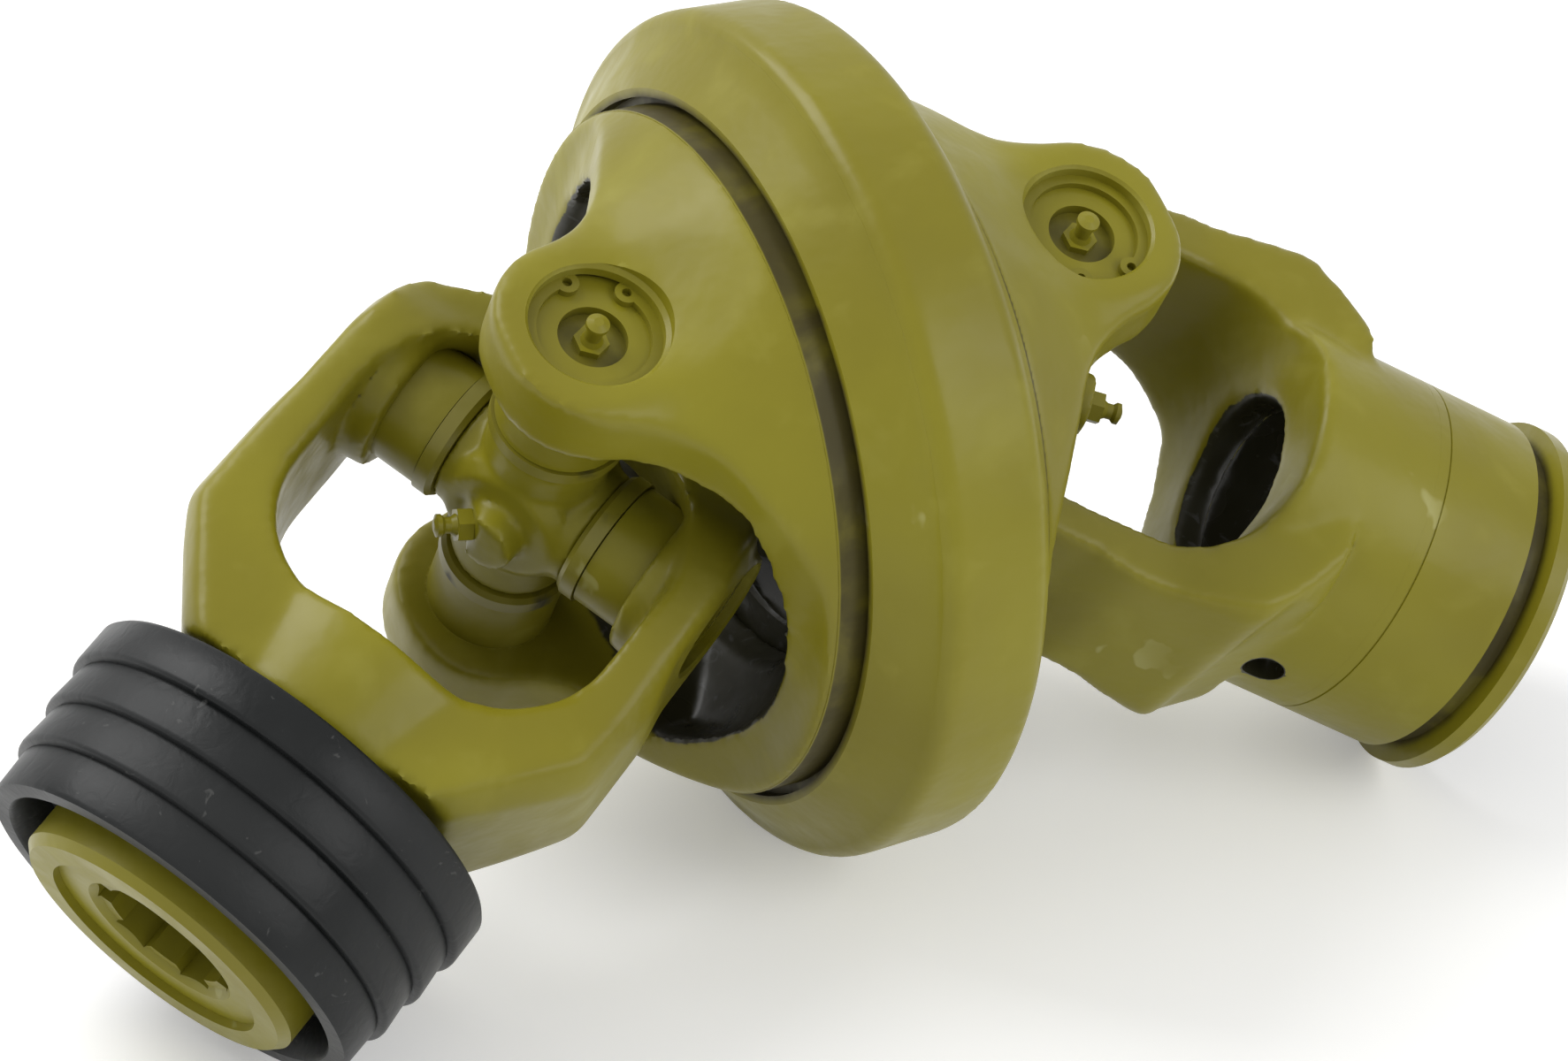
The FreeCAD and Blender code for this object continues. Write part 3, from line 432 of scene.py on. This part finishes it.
# Places from the housing's middle plane, towards each half's own turned side.
FLANGE_SEAM = -26.05 * MM
# At these rings the channel's dark paint starts: partly dirt, partly painted shade.
FLANGE_GRIME_AND_SHADE = -25.5 * MM
FLANGE_TURNED = past(FLANGE_SEAM, 72 * MM)
POCKET_FLOOR = -3.6 * MM
POCKET_WALL = 96 * MM
RING_SEAM = 15 * MM
RING_GRIME_AND_SHADE = 19.5 * MM
RING_TURNED = [(POCKET_FLOOR, 0), (POCKET_FLOOR, POCKET_WALL),
               (RING_SEAM, POCKET_WALL)] + past(RING_SEAM)[1:]
for node, centre, way, region, ring in (
        ("flanged_yoke", FRONT_CENTRE, HOUSING_WAY, FLANGE_TURNED, FLANGE_GRIME_AND_SHADE),
        ("ring_yoke", BACK_CENTRE, -HOUSING_WAY, RING_TURNED, RING_GRIME_AND_SHADE)):
    half = welded_copy(node, node + "_forging")
    for side in (-1, 1):
        add_rod(half, centre, PIN_WAY * side, EAR_INSIDE, HOUSING_EAR_FACE, PLUG_RADIUS)

    def forged_here(point):
        place, radius = around(point, HOUSING_MIDDLE, HOUSING_WAY)
        depth = abs(place)
        lip = step(radius, 71 * MM, 67 * MM) * step(depth, 18 * MM, 22 * MM)
        near_bore = around(point, centre, PIN_WAY)[1]
        return max(step(depth, 28.5 * MM, 33 * MM), lip) * step(near_bore, 15.5 * MM, 20 * MM)

    def marks_here(point):
        place, radius = around(point, HOUSING_MIDDLE, HOUSING_WAY)
        depth = abs(place)
        greased = step(radius, 66.5 * MM, 64.0 * MM) * step(depth, 42 * MM, 36 * MM)
        # The plate's side wall and the ring's lip in the channel are painted dark: partly dirt, partly painted
        # shade.
        channel = step(radius, 76 * MM, 78.8 * MM) * step(radius, 82.5 * MM, 81.5 * MM)
        grime_and_shade = 0.95 * channel * step(depth, 26.0 * MM, 25.55 * MM)
        return greased, grime_and_shade, step(depth, 27 * MM, 29 * MM)

    soften(half, forged_here, 14, 5)
    bore_cups(half, centre, PIN_WAY, EAR_INSIDE, HOUSING_CUP_FACE, HOUSING_EAR_FACE)
    keep_turned(half, node, HOUSING_MIDDLE, way, region, (ring,))
    mark(half, marks_here)
    shade(half, painted_casting, "housing", node)
dress("housing_lock_ring", painted_steel)


# Bearings: eight needle bearing cups of ground steel, each held by a snap
# ring with two lug eyes, with a rubber lip seal at its inner end.  They were
# painted over with the rest, apart from the gap where the seal rubs.
BARE_RUBBER = (0.020, 0.019, 0.015, 1)


def seal_build(tree, where):
    coat = placed_group(tree, enamel, Place=where, Edges=0.0, Dirt=0.3)
    worn = between(tree, noise(tree, where, 60, 4), 0.30, 0.46)
    colour = mixed(tree, worn, BARE_RUBBER, coat["Color"])
    return colour, between(tree, worn, 0, 1, 0.6, 0.4), coat["Height"], 0.0004


rubber = finish("painted_rubber", seal_build)[0]
YOKE_CUP_FACE = 47.5 * MM
for end in ("front", "back"):
    swing = {"housing": "%s_fork_swing" % end, "yoke": "%s_yoke_swing" % end}
    rider = {"housing": "housing", "yoke": "%s_yoke" % end}
    face = {"housing": HOUSING_CUP_FACE, "yoke": YOKE_CUP_FACE}
    for holder in ("housing", "yoke"):
        centre, way = joint_axis(swing[holder])

        def cup_marks(point):
            place, radius = around(point, centre, way)
            # The recess round the nipple is darkened as painted shade; the rest of the cup gets a light even
            # grime.
            recess = step(radius, 8.4 * MM, 8.0 * MM)
            recess *= step(abs(place), face[holder] - 1.2 * MM, face[holder] - 2.4 * MM)
            return 0.0, max(0.6 * recess, 0.12), 0.0

        for side in ("near", "far"):
            tail = "_%s_%s_%s" % (end, holder, side)
            for kind in ("cup", "clip"):
                piece = welded_copy(kind + tail, kind + tail + "_painted")
                if kind == "cup":
                    mark(piece, cup_marks)
                else:
                    mark(piece, lambda point: (0.0, 0.30, 0.0))
                shade(piece, painted_casting, rider[holder], kind + tail)
            dress("seal" + tail, rubber)


# Needles: thin ground rollers, bright under a film of grease.
BRIGHT = (0.62, 0.61, 0.59, 1)
BRIGHT_OILED = (0.42, 0.41, 0.39, 1)


def bright_build(tree, where):
    film = noise(tree, where, 160, 4)
    colour = mixed(tree, between(tree, film, 0.35, 0.70), BRIGHT_OILED, BRIGHT)
    return colour, between(tree, film, 0.30, 0.70, 0.20, 0.38), noise(tree, where, 900, 2), 0.00005


bright, shader = finish("bright_steel", bright_build)
shader.inputs["Metallic"].default_value = 1.0
for name in frame["nodes"]:
    if name.startswith("rollers"):
        dress(name, bright)
dress("locking_balls", bright)

# Crosses: forged hubs with four ground trunnions and a boss for the grease
# nipple, soft-edged and painted in place.  The nipples are turned steel.
for end in ("front", "back"):
    cross = welded_copy("cross_" + end, "cross_%s_forging" % end)
    soften(cross, lambda point: 1.0, 4, 3, 0.9 * MM)
    mark(cross, lambda point: (0.0, 0.12, 0.6))
    shade(cross, painted_casting, end + "_cross", "cross_" + end)
    dress("cross_nipple_" + end, painted_steel)
    dress("cup_nipple_" + end, painted_steel)


# Forked yokes: forged loops that hold the outer pair of each cross.  The
# front one ends in the splined hub, the back one in a turned tube socket.
def mount_of(name):
    return next(mount for mount in frame["record"]["mounts"] if mount["name"] == name)


def mount_way(name):
    """The direction of one of the record's mounts."""
    return Vector(mount_of(name)["axis"]).normalized()


YOKE_EAR_FACE = 52 * MM
LOOP_WINDOW = 34 * MM
BORE_FLOOR = 58 * MM
PIN_PLUG_RADIUS = 6.2 * MM
PIN_HOLE_RADIUS = 5 * MM
for node, body, swing, mount, seam, bore in (
        ("splined_yoke", "front_yoke", "front_yoke_swing", "splined_bore", 83.6 * MM, 18 * MM),
        ("tube_yoke", "back_yoke", "back_yoke_swing", "tube_socket", 95 * MM, 23.2 * MM)):
    centre, side_way = joint_axis(swing)
    along = mount_way(mount)
    loop = welded_copy(node, node + "_forging")
    for side in (-1, 1):
        add_rod(loop, centre, side_way * side, LOOP_WINDOW, YOKE_EAR_FACE, PLUG_RADIUS)

    if node == "tube_yoke":
        pin = mount_of("spring_pin_hole")
        pin_place = Vector(pin["pos_m"])
        pin_way = mount_way("spring_pin_hole")
        pin_place -= pin_way * (pin_place - centre).dot(pin_way)
        for side in (-1, 1):
            add_rod(loop, pin_place, pin_way * side, 34 * MM, 42.3 * MM, PIN_PLUG_RADIUS)

    def loop_forged(point):
        near_bore = around(point, centre, side_way)[1]
        depth = around(point, centre, along)[0]
        return step(depth, 84 * MM, 74 * MM) * step(near_bore, 15.5 * MM, 20 * MM)

    def loop_marks(point):
        depth, radius = around(point, centre, along)
        throat = step(radius, bore + 1.2 * MM, bore) * step(depth, BORE_FLOOR, BORE_FLOOR + 3 * MM)
        if node == "tube_yoke":
            socket = step(radius, 36 * MM, 35.2 * MM) * step(depth, 71 * MM, 72 * MM)
            from_pin = (point - pin_place).cross(pin_way).length
            hole = step(from_pin, 5.6 * MM, 5.2 * MM) * step(radius, 30 * MM, 31 * MM)
            # The groove near the tube's end is darkened as painted shade.
            groove = step(radius, 42.4 * MM, 40.4 * MM) * step(depth, 122 * MM, 124 * MM)
            return max(throat, socket, hole), groove, step(depth, seam, seam - 2 * MM)
        lit = step(depth, 120 * MM, 100 * MM)
        # The throat of the splined bore is also painted a little darker.
        return throat * lit, throat * 0.35, step(depth, seam, seam - 2 * MM)

    soften(loop, loop_forged, 16, 5)
    bore_cups(loop, centre, side_way, LOOP_WINDOW, YOKE_CUP_FACE, YOKE_EAR_FACE)
    if node == "tube_yoke":
        machine(loop, spun("spring_pin_drill", pin_place, pin_way, [
            (-60 * MM, 0), (-60 * MM, PIN_HOLE_RADIUS),
            (60 * MM, PIN_HOLE_RADIUS), (60 * MM, 0)], 48))
    keep_turned(loop, node, centre, along, past(seam))
    if node == "tube_yoke":
        machine(loop, spun("tool_mark", centre, along, [
            (97.2 * MM, 44 * MM), (97.9 * MM, 42.55 * MM), (98.1 * MM, 42.55 * MM),
            (98.8 * MM, 44 * MM), (97.2 * MM, 44 * MM)], 96))
    mark(loop, loop_marks)
    shade(loop, painted_casting, body, node)


# Guide pins, control disc and cover ring: hardened steel that runs in grease
# inside the housing, dark and wet with a few wiped places.
DARK_STEEL = (0.09, 0.088, 0.082, 1)


def greased_build(tree, where):
    cover = placed_group(tree, grease, Place=where, Amount=0.9, Color=DARK_STEEL, Roughness=0.4)
    return cover["Color"], cover["Roughness"], noise(tree, where, 120, 3), 0.0004


greased_steel = finish("greased_steel", greased_build)[0]
for name in ("guide_pin_front", "guide_pin_back", "control_disc", "disc_cover_ring"):
    dress(name, greased_steel)


# Locking collar: a moulded charcoal plastic sleeve that is drawn back by
# hand on the splined hub.  Its skin steps down in four bands, each with a
# full front edge to grip.  The ring in front of it is painted steel.
CHARCOAL = (0.015, 0.016, 0.016, 1)
CHARCOAL_DEEP = (0.006, 0.007, 0.007, 1)
SCRATCHED = (0.12, 0.12, 0.115, 1)


def collar_build(tree, where):
    broad = noise(tree, where, 26, 3)
    fine = noise(tree, where, 240, 3, 0.6)
    colour = mixed(tree, between(tree, broad, 0.35, 0.70), CHARCOAL_DEEP, CHARCOAL)
    scratches = between(tree, noise(tree, where, 150, 5, 2.0), 0.66, 0.72, 0, 0.35)
    colour = mixed(tree, scratches, colour, SCRATCHED)
    rough = maths(tree, "ADD", between(tree, broad, 0.30, 0.70, 0.33, 0.48),
                  maths(tree, "MULTIPLY", scratches, 0.2))
    return colour, rough, fine, 0.00015


collar_plastic, shader = finish("collar_plastic", collar_build)
shader.inputs["Specular IOR Level"].default_value = 0.22
COLLAR_BACK = 88 * MM
COLLAR_FRONT = 131 * MM
COLLAR_TOP = 52.2 * MM
BANDS = 4
BAND_DROP = 1.175 * MM
SHOULDER = 100 * MM
THROAT = 120.7 * MM
INSIDE = 41.5 * MM
HUB_CLEAR = 27.1 * MM
band_length = (COLLAR_FRONT - COLLAR_BACK) / BANDS
centre = joint_axis("front_yoke_swing")[0]
along = mount_way("splined_bore")
skin = [(COLLAR_BACK, 46.2 * MM), (COLLAR_BACK, 51.2 * MM), (COLLAR_BACK + 1 * MM, 52.0 * MM)]
for number in range(BANDS):
    begin = COLLAR_BACK + number * band_length
    end = begin + band_length
    top = COLLAR_TOP - number * BAND_DROP
    last = number == BANDS - 1
    if number:
        skin += [(begin + 0.2 * MM, top - 0.95 * MM), (begin + 0.8 * MM, top - 0.75 * MM)]
    skin += [(end - 1.3 * MM, top - 0.10 * MM - last * 0.95 * MM),
             (end - 0.5 * MM, top - 0.25 * MM - last * 1.10 * MM),
             (end - 0.1 * MM, top - 0.70 * MM - last * 0.9 * MM)]
skin += [(COLLAR_FRONT, 45.2 * MM), (COLLAR_FRONT, 43 * MM),
         (COLLAR_FRONT - 0.6 * MM, 42.4 * MM), (THROAT, INSIDE), (THROAT, HUB_CLEAR),
         (SHOULDER, HUB_CLEAR), (SHOULDER, INSIDE), (COLLAR_BACK, 46.2 * MM)]
collar = spun("collar_sleeve", centre, along, skin, 160)
collar.data.materials.append(collar_plastic)
collar.data.shade_smooth()
collar.data.set_sharp_from_angle(angle=math.radians(40))
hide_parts("locking_collar")
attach(collar, "collar")
dress("collar_stop_ring", painted_steel)


# Studio: a broad white floor, an even white surround and two soft lamps.
FLOOR_COLOUR = (0.93, 0.93, 0.925, 1)
FLOOR_GLOW = 0.26
WHITE = (1, 1, 1, 1)
SURROUND_LIGHT = 0.60
SURROUND_WHITE = 1.0
floor_mesh = bpy.data.meshes.new("floor")
ground = bmesh.new()
bmesh.ops.create_grid(ground, x_segments=1, y_segments=1, size=6)
ground.to_mesh(floor_mesh)
ground.free()
floor = bpy.data.objects.new("floor", floor_mesh)
bpy.context.scene.collection.objects.link(floor)
floor_paint = bpy.data.materials.new("floor")
floor_paint.use_nodes = True
tree = floor_paint.node_tree
shader = tree.nodes["Principled BSDF"]
shader.inputs["Roughness"].default_value = 0.9
shader.inputs["Specular IOR Level"].default_value = 0.1
shader.inputs["Base Color"].default_value = FLOOR_COLOUR
shader.inputs["Emission Color"].default_value = WHITE


def seen_as_white(tree):
    """One for the rays that show the background: camera, glossy, transmitted."""
    path = tree.nodes.new("ShaderNodeLightPath").outputs
    mirrored = maths(tree, "MAXIMUM", path["Is Glossy Ray"], path["Is Transmission Ray"])
    return maths(tree, "MAXIMUM", path["Is Camera Ray"], mirrored)


glow = maths(tree, "MULTIPLY", seen_as_white(tree), FLOOR_GLOW)
feed(tree, shader.inputs["Emission Strength"], glow)
floor_mesh.materials.append(floor_paint)

world = bpy.data.worlds.new("surround")
world.use_nodes = True
tree = world.node_tree
background = tree.nodes["Background"]
background.inputs["Color"].default_value = WHITE
feed(tree, background.inputs["Strength"],
     between(tree, seen_as_white(tree), 0, 1, SURROUND_LIGHT, SURROUND_WHITE))
bpy.context.scene.world = world


def lamp(name, where, aim, size, power):
    """A square soft lamp at one place, turned to another."""
    data = bpy.data.lights.new(name, "AREA")
    data.size = size
    data.energy = power
    light = bpy.data.objects.new(name, data)
    light.location = where
    light.rotation_euler = (Vector(aim) - Vector(where)).to_track_quat("-Z", "Y").to_euler()
    bpy.context.scene.collection.objects.link(light)


JOINT_MIDDLE = (0, 0, 0.1)
lamp("window", (-0.7, 0.8, 1.3), JOINT_MIDDLE, size=1.1, power=19)
lamp("front_fill", (0.8, -1.2, 1.0), JOINT_MIDDLE, size=1.0, power=8)
bpy.context.scene.view_settings.view_transform = "Standard"
